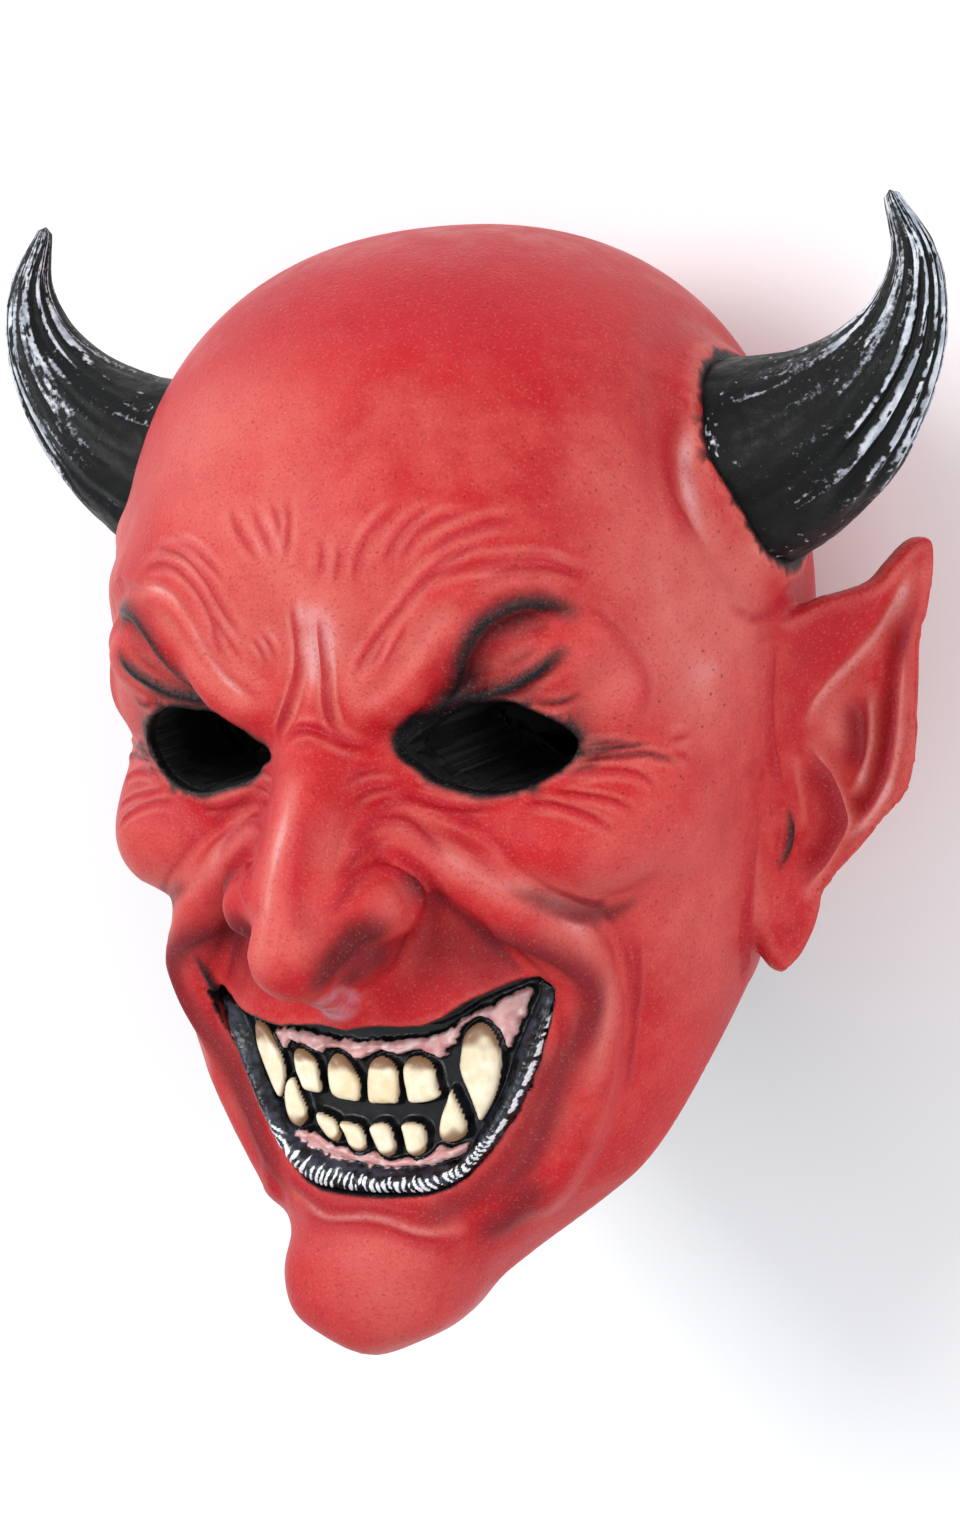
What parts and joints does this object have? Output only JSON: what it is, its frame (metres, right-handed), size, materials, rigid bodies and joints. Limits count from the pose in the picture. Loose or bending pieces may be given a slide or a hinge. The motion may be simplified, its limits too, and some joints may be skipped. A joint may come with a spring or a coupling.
{
  "type": "devil overhead mask",
  "caption": "Overhead latex mask of a grinning horned devil, hollow with an open neck and eye holes, lying on the back of its skull.",
  "frame": {"origin": "on the flat spot's plane at the back of the skull, below the middle of the whole mask's box", "axes": "+Z out of the face, which looks up; +Y from chin to crown; +X to the wearer's left"},
  "size_m": [0.2888, 0.3032, 0.2279],
  "materials": {
    "painted_latex": "airbrushed satin"
  },
  "bodies": {
    "root": {"devil_mask": "painted_latex"}
  },
  "joints": []
}
